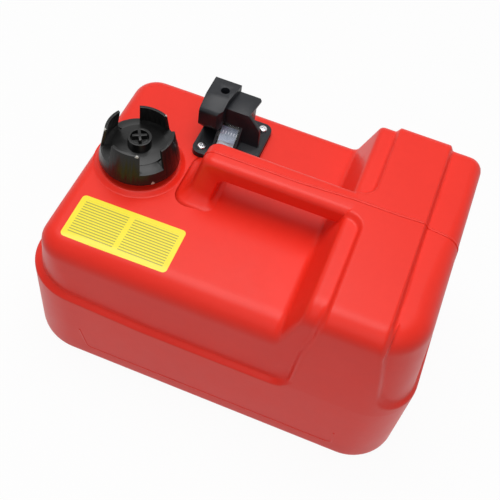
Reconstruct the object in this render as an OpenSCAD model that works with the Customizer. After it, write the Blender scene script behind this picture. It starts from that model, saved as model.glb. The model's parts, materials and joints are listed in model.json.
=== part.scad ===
// Portable outboard fuel tank: a blow-moulded can with an integral handle, a
// vented filler cap and a combined fuel outlet and float gauge.
// The origin is the middle of the footprint, on the surface the tank stands on.
// X runs along the length, -Y is the front and +Z is up. Millimetres.

/* [Tank] */
// Length of the skirt
tank_length = 380; // [360:1:420]
// Width of the skirt
tank_width = 246; // [236:1:270]
// Height of the deck that carries the cap and the outlet
deck_height = 165; // [150:1:180]
// Wall thickness of the moulding
wall = 3.5; // [2.5:0.1:4.5]
// Height of the ledge between the skirt and the upper body
ledge_height = 97; // [85:1:110]
// Step in from the skirt to the upper body
ledge_step = 5; // [3:0.5:7]
// Corner radius of the skirt in plan
skirt_corner = 53; // [46:1:60]
// Corner radius of the skirt's right end in plan
right_corner = 45; // [40:1:53]
// Draft of the skirt between the ledge and the floor
skirt_draft = 1; // [0.5:0.5:3]
// Radius round the bottom edge
bottom_edge = 9; // [7:1:14]
// Radius of the ledge's lip
ledge_edge = 3; // [2:0.5:4]
// Draft of the upper body's walls in each 100 mm of height
upper_draft = 2.5; // [1:0.5:4]
// Step in from the skirt to the upper body's left end
left_step = 4; // [3:0.5:6]
// Lean of the upper body's left end, sideways for each mm of height
left_lean = 0.27; // [0.2:0.01:0.34]
// Radius of the left end's top edge
left_edge = 13; // [10:1:20]
// Radius of the top edge at the front left corner
left_front_edge = 17; // [13:1:22]
// Radius of the upper body's rear corners in plan
rear_corner = 24; // [20:1:36]
// Radius of the front top edges
front_edge = 25; // [18:1:28]
// Radius of the rear top edges
rear_edge = 11; // [8:1:14]

/* [Raised block] */
// Height of the block's lower strips
strip_height = 208; // [198:1:214]
// Height that the plateau band stands above the strips
band_step = 5; // [3:0.5:7]
// Where the sloping wall meets the block's top
block_left = 78; // [70:1:84]
// Radius of the block's front top edge
block_edge = 20; // [16:1:24]
// Lean of the block's left wall
wall_lean = 14; // [8:1:20]
// Fillet between the deck and the block's wall
wall_fillet = 14; // [8:1:18]
// Convex edge at the top of the block's wall
wall_edge = 6; // [4:1:8]
// Where the plateau band begins
band_left = 95; // [90:1:102]
// Where the plateau band ends
band_right = 146; // [138:1:156]
// Radius along the plateau band's front and rear edges
band_edge = 13; // [9:1:16]

/* [Handle] */
// Middle of the handle across the tank
handle_y = 6; // [0:1:12]
// Width of the handle's grip
handle_width = 28; // [24:1:34]
// Depth of the handle's grip
handle_depth = 20; // [16:1:24]
// Left end of the grip
handle_left = -56; // [-66:1:-50]
// Thickness of the foot under the grip's left end
foot_top = 12; // [10:1:16]
// Length of the foot where it meets the deck
foot_base = 25; // [20:1:30]
// Flare of the foot at the deck, across the tank
foot_flare = 12; // [6:1:16]
// Edge radius along the top of the grip
grip_edge = 7; // [5:0.5:8]
// Edge radius under the grip
grip_under = 3.5; // [3:0.5:5]

/* [Filler and cap] */
// Place of the filler along the tank
cap_x = -121.3; // [-124:0.1:-116]
// Place of the filler across the tank
cap_y = 3; // [-4:0.5:10]
// Outer radius of the filler neck
neck_radius = 28; // [24:0.5:29]
// Wall of the filler neck
neck_wall = 3.5; // [3:0.5:5]
// Height of the neck above the deck
neck_height = 17.8; // [16:0.2:21]
// Outer radius of the moulded ring on the deck round the cap
collar_radius = 41.5; // [40:0.5:46]
// Height of that ring
collar_height = 3.5; // [2:0.5:5]
// Outer radius of the cap at its rim
cap_rim_radius = 37.5; // [36:0.1:39]
// Outer radius of the cap at its crown
cap_crown_radius = 31.4; // [31:0.1:34]
// Gap between the deck and the cap's rim
cap_gap = 11; // [8:0.5:12]
// Height of the cap's crown above its plate
crown_height = 20.8; // [14:0.2:22]
// Thickness of the cap's plate
cap_plate = 2.4; // [2:0.1:3.4]
// Wall of the cap's crown and skirt
cap_wall = 2.6; // [2:0.1:3.5]
// Wall of the cap's threaded sleeve
sleeve_wall = 2.5; // [2:0.1:3]
// Width of each notch in the crown, in degrees
notch_angle = 38; // [30:1:44]
// Number of notches in the crown
notch_count = 4; // [3:1:5]
// Direction of the first notch
notch_turn = 44; // [30:1:60]
// Radius of the raised disc inside the crown
disc_radius = 25; // [22:0.5:27]
// Height of that disc above the cap's plate
disc_height = 2.5; // [1:0.5:3]
// Thickness of the gasket under the cap's plate
cap_gasket_height = 2; // [1.5:0.1:3]
// Radial clearance between the neck and the cap's sleeve
thread_clearance = 0.06; // [0.02:0.01:0.1]

/* [Vent] */
// Outer radius of the boss round the vent screw
boss_radius = 11; // [10:0.5:13]
// Height of the boss above the raised disc
boss_height = 10.5; // [8:0.5:12]
// Wall of the boss
boss_wall = 2.4; // [1.5:0.1:3]
// Radius of the vent screw's stem
vent_stem = 3; // [2.5:0.1:3.4]
// Radius of the vent screw's knob
vent_knob = 7.6; // [7:0.1:8]
// Thickness of the knob's flange
vent_flange = 3.5; // [2:0.5:5]
// Height of the knob's wings
vent_wing = 5.5; // [4:0.5:7]
// Thickness of a wing
wing_thickness = 2.6; // [2:0.2:3.6]
// Thickness of the vent's seal ring
vent_seal_height = 2; // [1.5:0.1:2.5]
// Radial clearance of the vent screw in its hole
vent_clearance = 0.06; // [0.02:0.01:0.1]

/* [Outlet and gauge body] */
// Middle of the flange along the tank
outlet_x = -52.5; // [-54:0.5:-50]
// Middle of the flange across the tank
outlet_y = 65.5; // [64:0.5:68]
// Half the screw spacing along the tank
screw_dx = 22.5; // [22:0.5:25]
// Half the screw spacing across the tank
screw_dy = 23.5; // [23:0.5:25]
// Radius of the lug round each screw
lug_radius = 8.5; // [7:0.5:10]
// Thickness of the flange
flange_height = 4.4; // [3.5:0.1:6]
// Thickness of the flange's gasket
gasket_height = 1.6; // [1:0.1:2.5]
// Radius of the opening in the deck
opening_radius = 21; // [20:0.5:22]
// Clearance between that opening and the flange's spigot
spigot_clearance = 0.4; // [0.2:0.1:0.8]
// Wall of the spigot
spigot_wall = 2; // [1.5:0.1:2.5]
// Depth of the spigot below the flange
spigot_depth = 5.5; // [4:0.5:7]
// Height of the left block above the deck
left_block_height = 50; // [47:0.5:54]
// Left face of the left block, from the flange's middle
left_block_left = -31.5; // [-33:0.5:-29]
// Right face of the left block, from the flange's middle
left_block_right = -5; // [-6:0.5:-3]
// Taper of the left block's right face, over its depth
left_block_taper = 4; // [2:0.5:5]
// Rear face of both blocks, from the flange's middle
block_rear = 26.5; // [25:0.5:28]
// Front face of the left block's nose, from the flange's middle
nose_front = -14; // [-15:0.5:-12]
// Depth of the slope on top of the nose
nose_slope = 16.5; // [14:0.5:20]
// Drop of that slope
nose_drop = 5; // [4:0.5:9]
// Height of the nose's underside above the deck
nose_rise = 22; // [20:0.5:25]
// Edge radius round the nose
nose_edge = 4.5; // [2:0.5:6]
// Step down from the left block to the right block
block_step = 7; // [5:0.5:9]
// Right end of the right block, from the flange's middle
right_block_right = 17; // [15:0.5:20]
// Taper of the right block's right face, over its depth
right_block_taper = 3.5; // [2:0.5:5]
// Front face of the right block, from the flange's middle
right_block_front = -1.5; // [-2.5:0.5:-0.5]
// Right face of the column under the right block
column_right = 12.5; // [11:0.5:14]
// Thickness of the right block's overhang
overhang_height = 10; // [8:0.5:12]
// Reach of the side web at the flange, from the flange's middle
web_right = 25.8; // [24:0.2:27]
// Radius of the web's rounded shoulder
web_shoulder = 16; // [12:1:18]
// Thickness of the side web
web_thickness = 4; // [3:0.5:5]

/* [Gauge] */
// Width of the clear window
lens_width = 19; // [17:0.5:19]
// Length of the clear window down its slope
lens_length = 25; // [23:0.5:25.5]
// Thickness of the clear window
lens_height = 2; // [1.5:0.1:2.5]
// Thickness of the window's seal
lens_seal = 0.8; // [0.5:0.1:1.2]
// Slope of the window
lens_slope = 44; // [42:0.5:46]
// Height of the window's middle above the deck
lens_rise = 15.5; // [15:0.5:16.5]
// Place of the window's middle, from the flange's middle
lens_y = -10.6; // [-11.2:0.2:-10.4]
// Wall of the housing beside the window
housing_wall = 1.8; // [1.6:0.1:2.4]
// Place of the gauge's middle, from the flange's middle
gauge_dx = -2.5; // [-3:0.5:-2]
// Place of the drum's pivot, from the flange's middle
pivot_y = -5.5; // [-6.5:0.5:-4.5]
// Radius of the gauge drum
drum_radius = 9.6; // [9:0.1:10]
// Clearance round the drum
drum_clearance = 1; // [0.6:0.1:1.4]
// Radius of the pivot pin
pin_radius = 1.5; // [1.2:0.1:2]
// Radial clearance of the drum on its pin
pin_clearance = 0.05; // [0.02:0.01:0.1]

/* [Float] */
// Gap between the empty float and the tank's floor
float_gap = 7.5; // [5:0.5:12]
// Drop of the arm below its pivot
arm_drop = 12; // [11:0.5:13]
// Radius of the arm's wire
arm_wire = 1.2; // [1:0.1:1.5]
// Angle of the arm below level when the tank is empty
arm_angle = 71; // [66:1:72]
// Radius of the float
float_radius = 12; // [10:0.5:14]
// Length of the float
float_length = 30; // [24:1:34]

/* [Outlet and pickup] */
// Radius of the hose connector's socket
socket_radius = 4.3; // [4:0.1:5]
// Depth of that socket
socket_depth = 16; // [12:0.5:17]
// Place of the socket, from the flange's middle
socket_x = -16.5; // [-17:0.5:-16]
// Place of the socket and the riser across the flange, from its middle
socket_y = 12.9; // [12.5:0.1:13.2]
// Radius of the valve's seat hole
seat_radius = 2.9; // [2.6:0.1:3.2]
// Thickness of the lip between the socket and the valve chamber
seat_lip = 2; // [1.5:0.1:3]
// Radius of the valve chamber
chamber_radius = 5.6; // [5:0.1:6]
// Thickness of the rubber seat
seal_height = 1.8; // [1.4:0.1:2.4]
// Thickness of the valve's head
valve_head = 3; // [2:0.5:4]
// Travel of the valve
valve_travel = 3; // [2:0.5:3.5]
// Thickness of the plug under the valve chamber
chamber_plug = 5; // [4:0.5:6]
// Radius of the valve spring's wire
spring_wire = 0.35; // [0.3:0.05:0.45]
// Turns of the valve spring
spring_turns = 6; // [5:1:8]
// Height of the cross passage above the deck
passage_rise = 19; // [17:0.5:21]
// Radius of the cross passage
passage_radius = 2.5; // [2:0.1:3]
// Outer radius of the pickup tube
pickup_radius = 4; // [3.5:0.1:4.4]
// Wall of the pickup tube
pickup_wall = 1; // [0.8:0.1:1.4]
// Radial clearance of the pickup tube in its sockets
tube_clearance = 0.03; // [0.01:0.01:0.1]
// Gap between the tank's floor and the strainer
strainer_gap = 2; // [1:0.5:4]
// Radius of the strainer
strainer_radius = 7; // [6:0.5:8]
// Height of the strainer
strainer_height = 26; // [20:1:32]

/* [Fasteners] */
// Radius of a screw's shank
screw_radius = 1.95; // [1.6:0.05:2.2]
// Length of a screw below its head
screw_length = 15; // [12:0.5:16]
// Radius of a screw's pan head
head_radius = 4; // [3.6:0.1:4.4]
// Height of a screw's pan head
head_height = 2.5; // [2:0.1:3]
// Clearance round a screw's shank in the flange
shank_clearance = 0.25; // [0.1:0.05:0.4]
// Wall of a brass insert
insert_wall = 1.5; // [1.2:0.1:1.8]
// Length of a brass insert
insert_length = 10; // [8:0.5:11]
// Wall of the moulded boss round an insert
insert_boss_wall = 2.6; // [2:0.1:3]

/* [Hidden] */
$fn = 64;

// Facets round a moulded corner outside and inside, and steps round an edge
corner_facets = 40;
cavity_facets = 24;
edge_steps = 5;
fine = 32;

half_length = tank_length / 2;
half_width = tank_width / 2;
band_height = strip_height + band_step;
skirt_corners = [skirt_corner, right_corner];
upper_corners = [skirt_corner - ledge_step, right_corner - ledge_step];
upper_low = ledge_height - 10;
far = 2 * tank_length;
skirt_plan = [-half_length, half_length, -half_width, half_width];
neck_top = deck_height + neck_height;
neck_bore = neck_radius - neck_wall;
cap_low = deck_height + cap_gap;
plate_low = neck_top + cap_gasket_height;
plate_top = plate_low + cap_plate;
crown_top = plate_top + crown_height;
disc_top = plate_top + disc_height;
boss_top = disc_top + boss_height;
boss_floor = disc_top + 2;
sleeve_bore = neck_radius + thread_clearance;
sleeve_radius = sleeve_bore + sleeve_wall;
vent_hole = vent_stem + vent_clearance;
knob_low = boss_floor + vent_seal_height;
flange_low = deck_height + gasket_height;
flange_top = flange_low + flange_height;
spigot_radius = opening_radius - spigot_clearance;
left_top = deck_height + left_block_height;
right_top = left_top - block_step;
block_rear_y = outlet_y + block_rear;
front_y = outlet_y + right_block_front;
nose_y = outlet_y + nose_front;
gauge_x = outlet_x + gauge_dx;
pivot = [gauge_x, outlet_y + pivot_y, deck_height];
housing_half = lens_width / 2 + housing_wall;
lens_middle = [gauge_x, outlet_y + lens_y, deck_height + lens_rise];
cavity_radius = drum_radius + drum_clearance;
cavity_half = lens_width / 2;
drum_half = cavity_half - drum_clearance;
arm_x = gauge_x - drum_half + arm_wire + 1;
float_low = wall + float_gap + float_radius;
arm_length = (pivot[2] - float_low - arm_drop * cos(arm_angle)) / sin(arm_angle);
socket = [outlet_x + socket_x, outlet_y + socket_y];
riser = [outlet_x, outlet_y + socket_y];
chamber_top = left_top - socket_depth - seat_lip;
plug_top = flange_low + chamber_plug;
head_top = chamber_top - seal_height;
stem_top = left_top - socket_depth - 0.3;
passage_z = deck_height + passage_rise;
riser_socket_top = passage_z - passage_radius - 4.5;
tube_socket = pickup_radius + tube_clearance;
strainer_low = wall + strainer_gap;
insert_radius = screw_radius + 0.05 + insert_wall;
insert_boss = insert_radius + insert_boss_wall;
// The flange's fourth corner lies under the left block, where no screwdriver reaches
screw_places = [
    for (side = [[-1, -1], [1, -1], [1, 1]]) [outlet_x + side[0] * screw_dx, outlet_y + side[1] * screw_dy]
];

// A plan is [low x, high x, low y, high y]; growing it moves each side outwards
function grown(plan, by) = [plan[0] - by, plan[1] + by, plan[2] - by, plan[3] + by];
function arc(middle, radius, from, to, steps) = [
    for (i = [0:steps])
        middle + radius * [cos(from + (to - from) * i / steps), sin(from + (to - from) * i / steps)]
];

// Extrudes an outline drawn in Y and Z along X
module along_x(from, to) {
    translate([from, 0, 0]) rotate([90, 0, 90]) linear_extrude(to - from) children();
}

// Extrudes an outline drawn in X and Z along Y
module along_y(from, to) {
    translate([0, to, 0]) rotate([90, 0, 0]) linear_extrude(to - from) children();
}

// A disc with its upper or lower rim rounded
module puck(radius, edge, face, up, facets) {
    side = up ? -1 : 1;
    rim = [for (p = arc([radius - edge, 0], edge, 0, 90, edge_steps)) [p[0], face + side * (edge - p[1])]];
    rotate_extrude($fn = facets)
        polygon(concat([[0, face + side * edge]], rim, [[0, face]]));
}

// The pucks at the corners of a moulded block between a low and a high plan; low_corners holds
// the foot's left and right radii, and corners and edges the top's, as [front, rear] of each end
module corner_pucks(ends, low_plan, high_plan, low, high, low_corners, corners, low_edge, edges, inset) {
    facets = inset > 0 ? cavity_facets : corner_facets;
    for (sx = ends, sy = [2, 3]) {
        a = grown(low_plan, -low_corners[sx]);
        b = grown(high_plan, -corners[sx][sy - 2]);
        translate([a[sx], a[sy], 0])
            puck(low_corners[sx] - inset, max(low_edge - inset, 1), low + inset, false, facets);
        translate([b[sx], b[sy], 0])
            puck(corners[sx][sy - 2] - inset, max(edges[sx][sy - 2] - inset, 1), high - inset, true, facets);
    }
}

module skirt_form(inset) {
    lips = [ledge_edge, ledge_edge];
    hull()
        corner_pucks([0, 1], grown(skirt_plan, -skirt_draft), skirt_plan, 0, ledge_height, skirt_corners,
            [for (r = skirt_corners) [r, r]], bottom_edge, [lips, lips], inset);
}

// The upper body's plan at a height: drafted all round, its left end leaning in
function plan_at(z) =
    let (drafted = upper_draft * (z - upper_low) / 100)
    [
        left_step - half_length + left_lean * (z - upper_low),
        half_length - ledge_step - drafted,
        ledge_step - half_width + drafted,
        half_width - ledge_step - drafted
    ];

// The outline across the upper body where it stands that high, from its front foot
// over the top to its rear foot
function cross_section(x, high, inset) =
    let (
        blend = (high + inset - deck_height) / (strip_height - deck_height),
        front = front_edge + (block_edge - front_edge) * blend - inset,
        rear = rear_edge - inset,
        foot = grown(plan_at(upper_low), -inset),
        top = grown(plan_at(high + inset), -inset),
        outline = concat(
            [[foot[2], upper_low + inset]],
            arc([top[2] + front, high - front], front, 180, 90, edge_steps),
            arc([top[3] - rear, high - rear], rear, 90, 0, edge_steps),
            [[foot[3], upper_low + inset]]
        )
    )
    [for (p = outline) [x, p[0], p[1]]];

// A solid through outlines that have the same number of points
module loft(sections) {
    count = len(sections[0]);
    last = len(sections) - 1;
    polyhedron(
        [for (s = sections) each s],
        concat(
            [[for (j = [count - 1:-1:0]) j]],
            [for (i = [0:last - 1], j = [0:count - 1], half = [0, 1])
                let (a = i * count, b = a + count, k = (j + 1) % count)
                half == 0 ? [a + j, a + k, b + k] : [a + j, b + k, b + j]],
            [[for (j = [0:count - 1]) last * count + j]]
        )
    );
}

// The top line of the block's left side in X and Z: fillet, leaning wall, convex edge
fillet_z = deck_height + wall_fillet;
fillet_drop = (strip_height + wall_fillet * sin(wall_lean) - fillet_z) / cos(wall_lean);
fillet_x = block_left - fillet_drop * sin(wall_lean) - wall_fillet * cos(wall_lean);
edge_rise = wall_edge * (1 - sin(wall_lean)) / cos(wall_lean);
edge_x = block_left - edge_rise * sin(wall_lean) + wall_edge * cos(wall_lean);
function block_line(inset) = concat(
    arc([fillet_x, fillet_z], wall_fillet + inset, 270, 360 - wall_lean, 7),
    arc([edge_x, strip_height - wall_edge], wall_edge - inset, 180 - wall_lean, 90, 4)
);

// One end of the upper body, from the outline at the block's foot or edge to the end's corners
module end_form(end, section, high, front, rear, inset) {
    middle = [section[0][0] + (end == 0 ? -far : far) / 100, 0, deck_height - 2 * front_edge];
    hull() {
        loft([section, [for (p = section) middle + (p - middle) / 2]]);
        corner_pucks([end], plan_at(upper_low), plan_at(high), upper_low, high, upper_corners,
            [for (r = upper_corners) [r, rear_corner]], 1, [[front, rear], [front, rear]], inset);
    }
}

module upper_body(inset) {
    sections = [for (p = block_line(inset)) cross_section(p[0], p[1], inset)];
    loft(sections);
    end_form(0, sections[0], deck_height, left_front_edge, left_edge, inset);
    end_form(1, sections[len(sections) - 1], strip_height, block_edge, rear_edge, inset);
}

// The raised band over the block: flush with the skirt in front, with the upper body behind
module band_form(inset) {
    low_plan = [-half_length, half_length, 0.5 - half_width, half_width - ledge_step + 0.5];
    edges = [band_edge, rear_edge];
    intersection() {
        hull()
            corner_pucks([0, 1], low_plan, grown(low_plan, -upper_draft), upper_low, band_height,
                upper_corners, [for (r = upper_corners) [r, rear_corner]], 1, [edges, edges], inset);
        translate([band_left + inset, -far, 0])
            cube([band_right - band_left - 2 * inset, 2 * far, band_height]);
    }
}

module grip_form(inset) {
    half = handle_width / 2;
    hull()
        for (sy = [-1, 1]) {
            top = grip_edge - inset;
            under = max(grip_under - inset, 0.4);
            for (x = [handle_left + grip_edge, band_left + 10]) {
                translate([x, handle_y + sy * (half - grip_edge), band_height - grip_edge])
                    sphere(top, $fn = fine);
                translate([x, handle_y + sy * (half - inset - under), band_height - handle_depth + inset + under])
                    sphere(under, $fn = fine);
            }
        }
}

module foot_form(inset) {
    half = handle_width / 2;
    low = deck_height - wall - 4;
    base_left = handle_left - foot_base + foot_top;
    hull() {
        for (sy = [-1, 1], x = [handle_left + grip_edge, handle_left + foot_top - 2])
            translate([x, handle_y + sy * (half - grip_edge), band_height - grip_edge])
                sphere(grip_edge - inset, $fn = fine);
        for (sy = [-1, 1], x = [base_left + 8, base_left + foot_base - 8])
            translate([x, handle_y + sy * (half + foot_flare - 8), low])
                cylinder(r = 8 - inset, h = 5, $fn = fine);
    }
}

// The whole moulding, drawn in by inset all round
module tank_form(inset) {
    skirt_form(inset);
    upper_body(inset);
    band_form(inset);
    grip_form(inset);
    foot_form(inset);
}

module tank_shell() {
    color("red") difference() {
        union() {
            difference() {
                tank_form(0);
                tank_form(wall);
            }
            translate([cap_x, cap_y, deck_height - wall]) {
                cylinder(r = neck_radius, h = wall + neck_height);
                rotate_extrude() polygon([
                    [neck_bore, 0], [collar_radius, 0], [collar_radius, wall],
                    [collar_radius - collar_height, wall + collar_height], [neck_bore, wall + collar_height]
                ]);
            }
            for (p = screw_places)
                translate([p[0], p[1], deck_height - insert_length - 4])
                    cylinder(r = insert_boss, h = insert_length + 4 - wall / 2, $fn = fine);
        }
        translate([cap_x, cap_y, deck_height - 2 * wall])
            cylinder(r = neck_bore, h = 2 * wall + neck_height + 1);
        translate([outlet_x, outlet_y, deck_height - 2 * wall])
            cylinder(r = opening_radius, h = 3 * wall);
        for (p = screw_places)
            translate([p[0], p[1], deck_height - insert_length])
                cylinder(r = insert_radius + 0.03, h = insert_length + 1, $fn = fine);
    }
}

// The sectors between the crown's petals, from a given radius outwards
module notches(inner, low, angle) {
    near = inner / cos(angle / 2);
    outer = 2 * cap_rim_radius;
    for (i = [0:notch_count - 1])
        rotate([0, 0, notch_turn + i * 360 / notch_count])
            translate([0, 0, low])
                linear_extrude(2 * crown_height)
                    polygon([for (end = [[near, -1], [outer, -1], [outer, 1], [near, 1]])
                        end[0] * [cos(angle / 2), end[1] * sin(angle / 2)]]);
}

module cap_shell() {
    taper = (cap_rim_radius - cap_crown_radius) / (crown_top - cap_low);
    plate_radius = cap_crown_radius + taper * crown_height - cap_wall;
    under_radius = cap_crown_radius + taper * (crown_top - plate_low) - cap_wall;
    color("dimgray") translate([cap_x, cap_y, 0]) {
        difference() {
            rotate_extrude() polygon([
                [cap_rim_radius, cap_low], [cap_crown_radius, crown_top],
                [cap_crown_radius - cap_wall, crown_top], [plate_radius, plate_top],
                [disc_radius, plate_top], [disc_radius, disc_top],
                [boss_radius, disc_top], [boss_radius, boss_top],
                [boss_radius - boss_wall, boss_top], [boss_radius - boss_wall, boss_floor],
                [vent_hole, boss_floor], [vent_hole, plate_low],
                [sleeve_bore, plate_low], [sleeve_bore, cap_low + 1],
                [sleeve_radius, cap_low + 1], [sleeve_radius, plate_low],
                [under_radius, plate_low], [cap_rim_radius - cap_wall, cap_low]
            ]);
            notches(disc_radius + 1, plate_top, notch_angle);
        }
        // a ramp from the disc down to the floor of each notch, a little wider than the notch
        intersection() {
            notches(disc_radius - 3, plate_top - 4, notch_angle + 3);
            rotate_extrude() polygon([
                [disc_radius - 1, plate_top - 1], [disc_radius - 1, disc_top - 0.3],
                [plate_radius + cap_wall - 0.6, plate_top - 0.3], [plate_radius, plate_top - 1]
            ]);
        }
    }
}

module cap_gasket() {
    color("black") translate([cap_x, cap_y, neck_top]) difference() {
        cylinder(r = neck_radius - 0.1, h = cap_gasket_height);
        translate([0, 0, -1]) cylinder(r = neck_bore - 1.5, h = cap_gasket_height + 2);
    }
}

module vent_screw() {
    color("dimgray") translate([cap_x, cap_y, 0]) {
        translate([0, 0, plate_low - 2]) cylinder(r = vent_stem, h = knob_low - plate_low + 3);
        translate([0, 0, knob_low]) cylinder(r = vent_knob, h = vent_flange);
        intersection() {
            translate([0, 0, knob_low]) cylinder(r = vent_knob - 0.8, h = vent_flange + vent_wing);
            for (turn = [30, 120])
                rotate([0, 0, turn])
                    translate([-vent_knob, -wing_thickness / 2, knob_low + 1])
                        cube([2 * vent_knob, wing_thickness, vent_flange + vent_wing]);
        }
    }
}

module vent_seal() {
    color("black") translate([cap_x, cap_y, boss_floor]) difference() {
        cylinder(r = vent_knob - 1.5, h = vent_seal_height);
        translate([0, 0, -1]) cylinder(r = vent_stem + 0.08, h = vent_seal_height + 2);
    }
}

// A plate with round corners centred on the screws
module lug_plate(low, high) {
    translate([outlet_x, outlet_y, low]) {
        translate([-screw_dx - lug_radius, -screw_dy, 0])
            cube([2 * (screw_dx + lug_radius), 2 * screw_dy, high - low]);
        translate([-screw_dx, -screw_dy - lug_radius, 0])
            cube([2 * screw_dx, 2 * (screw_dy + lug_radius), high - low]);
        for (sx = [-1, 1], sy = [-1, 1])
            translate([sx * screw_dx, sy * screw_dy, 0]) cylinder(r = lug_radius, h = high - low);
    }
}

// The left block: a nose that slopes in front over a strut that leans back to the flange
module left_block() {
    left = outlet_x + left_block_left;
    right = outlet_x + left_block_right;
    mid = outlet_y + right_block_front + 2;
    low = deck_height + nose_rise;
    intersection() {
        along_x(left, right)
            hull() {
                translate([nose_y + nose_edge, left_top - nose_drop - nose_edge]) circle(nose_edge);
                translate([nose_y + nose_edge, low + nose_edge]) circle(nose_edge);
                translate([nose_y + nose_slope, flange_top - 1])
                    square([block_rear_y - nose_y - nose_slope, left_top - flange_top + 1]);
            }
        translate([0, 0, flange_top - 1]) linear_extrude(left_top)
            polygon([
                [left, nose_y], [left, block_rear_y], [right, block_rear_y],
                [right - left_block_taper, mid], [right - left_block_taper - 0.6, nose_y + 5],
                [right - left_block_taper - 5, nose_y]
            ]);
    }
}

// The right block's plan, with its right face moved in by a given amount
module right_plan(by) {
    left = outlet_x + left_block_right;
    right = outlet_x + right_block_right - by;
    rear = block_rear_y - 1;
    polygon([
        [left - left_block_taper, front_y], [right - right_block_taper, front_y],
        [right, rear - 2.5], [right - 2, rear], [left - 1, rear]
    ]);
}

module right_block() {
    web_x = outlet_x + web_right;
    shoulder_z = right_top - overhang_height - 11;
    hull() {
        translate([0, 0, right_top - overhang_height]) linear_extrude(1) right_plan(3);
        translate([0, 0, right_top - 2]) linear_extrude(2) right_plan(0);
    }
    translate([outlet_x + left_block_right - left_block_taper, front_y, flange_top - 1])
        cube([column_right - left_block_right + left_block_taper, block_rear_y - 1 - front_y,
            right_top - flange_top]);
    along_y(front_y, front_y + web_thickness)
        polygon(concat(
            [[outlet_x + column_right - 1, flange_top - 1], [web_x + 0.4, flange_top - 1]],
            arc([web_x - web_shoulder, shoulder_z], web_shoulder, 0, 39, 5),
            [[outlet_x + right_block_right - right_block_taper, right_top],
                [outlet_x + column_right - 1, right_top]]
        ));
}

// A box in the window's own frame: u across, v up the slope, w out of it
module in_window(size, w_low) {
    translate(lens_middle) rotate([lens_slope, 0, 0])
        translate([-size[0] / 2, -size[1] / 2, w_low]) cube(size);
}

module gauge_housing() {
    step = [outlet_y + lens_y, deck_height + lens_rise + 0.4 / cos(lens_slope)];
    foot = step - (step[1] - flange_top) * [1 / tan(lens_slope), 1];
    top = step + (front_y + 1 - step[0]) * [1, tan(lens_slope)];
    along_x(gauge_x - housing_half, gauge_x + housing_half)
        polygon([foot, top, [front_y + 1, flange_top - 1], [foot[0], flange_top - 1]]);
}

module pivot_ears() {
    for (side = [-1, 1])
        translate([gauge_x + side * (cavity_half + housing_wall / 2) - housing_wall / 2, pivot[1] - 4.5,
                deck_height - 4.5])
            cube([housing_wall, 9, gasket_height + 6]);
}

module outlet_body() {
    color("dimgray") difference() {
        union() {
            lug_plate(flange_low, flange_top);
            translate([outlet_x, outlet_y, flange_low - spigot_depth - gasket_height])
                difference() {
                    cylinder(r = spigot_radius, h = spigot_depth + gasket_height + 1);
                    translate([0, 0, -1])
                        cylinder(r = spigot_radius - spigot_wall, h = spigot_depth + gasket_height + 1);
                }
            pivot_ears();
            translate([riser[0], riser[1], flange_low - spigot_depth])
                cylinder(r = pickup_radius + 1.6, h = spigot_depth + 1);
            left_block();
            right_block();
            gauge_housing();
        }
        for (p = screw_places)
            translate([p[0], p[1], flange_low - 1])
                cylinder(r = screw_radius + shank_clearance, h = flange_height + 2);
        translate([socket[0], socket[1], left_top - socket_depth]) cylinder(r = socket_radius, h = socket_depth + 1);
        translate([socket[0], socket[1], chamber_top - 1]) cylinder(r = seat_radius, h = seat_lip + 2);
        translate([socket[0], socket[1], flange_low - 1])
            cylinder(r = chamber_radius, h = chamber_top - flange_low + 1);
        translate([socket[0], socket[1], passage_z]) rotate([0, 90, 0])
            cylinder(r = passage_radius, h = outlet_x + right_block_right - socket[0] + 1);
        translate([outlet_x + column_right - 5, socket[1], passage_z]) rotate([0, 90, 0])
            cylinder(r = passage_radius + 1.5, h = 6);
        translate([riser[0], riser[1], flange_low - spigot_depth - 1])
            cylinder(r = tube_socket, h = riser_socket_top - flange_low + spigot_depth + 1);
        translate([riser[0], riser[1], riser_socket_top - 1])
            cylinder(r = passage_radius, h = passage_z - riser_socket_top + 1);
        translate([gauge_x - cavity_half, pivot[1], pivot[2]]) rotate([0, 90, 0])
            cylinder(r = cavity_radius, h = 2 * cavity_half);
        in_window([lens_width, lens_length, lens_height + lens_seal + 5], -lens_height - lens_seal);
        in_window([lens_width - 3, lens_length - 5, 14], -lens_height - lens_seal - 8);
        translate([gauge_x - housing_half - 1, pivot[1], pivot[2]]) rotate([0, 90, 0])
            cylinder(r = pin_radius, h = 2 * housing_half + 2);
    }
}

module flange_gasket() {
    color("black") difference() {
        lug_plate(deck_height, flange_low);
        translate([outlet_x, outlet_y, deck_height - 1]) cylinder(r = opening_radius, h = gasket_height + 2);
        for (p = screw_places)
            translate([p[0], p[1], deck_height - 1])
                cylinder(r = screw_radius + shank_clearance, h = gasket_height + 2);
    }
}

module flange_screws() {
    color("silver") for (p = screw_places)
        translate([p[0], p[1], flange_top]) {
            translate([0, 0, -screw_length]) cylinder(r = screw_radius, h = screw_length + 0.5);
            difference() {
                rotate_extrude() polygon(concat(
                    [[0, 0], [head_radius, 0]],
                    arc([head_radius - 1.6, head_height - 1.6], 1.6, 0, 90, 6),
                    [[0, head_height]]
                ));
                for (turn = [0, 90])
                    rotate([0, 0, turn]) translate([-2.4, -0.5, head_height - 1.4]) cube([4.8, 1, 2]);
            }
        }
}

module screw_inserts() {
    color("gold") for (p = screw_places)
        translate([p[0], p[1], deck_height - insert_length])
            difference() {
                cylinder(r = insert_radius, h = insert_length);
                translate([0, 0, -1]) cylinder(r = screw_radius + 0.05, h = insert_length + 2);
            }
}

module gauge_lens() {
    color("lightblue") in_window([lens_width - 0.1, lens_length - 0.1, lens_height], -lens_height);
}

module lens_gasket() {
    color("black") difference() {
        in_window([lens_width - 0.1, lens_length - 0.1, lens_seal], -lens_height - lens_seal);
        in_window([lens_width - 3, lens_length - 5, 8], -lens_height - 4);
    }
}

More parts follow.
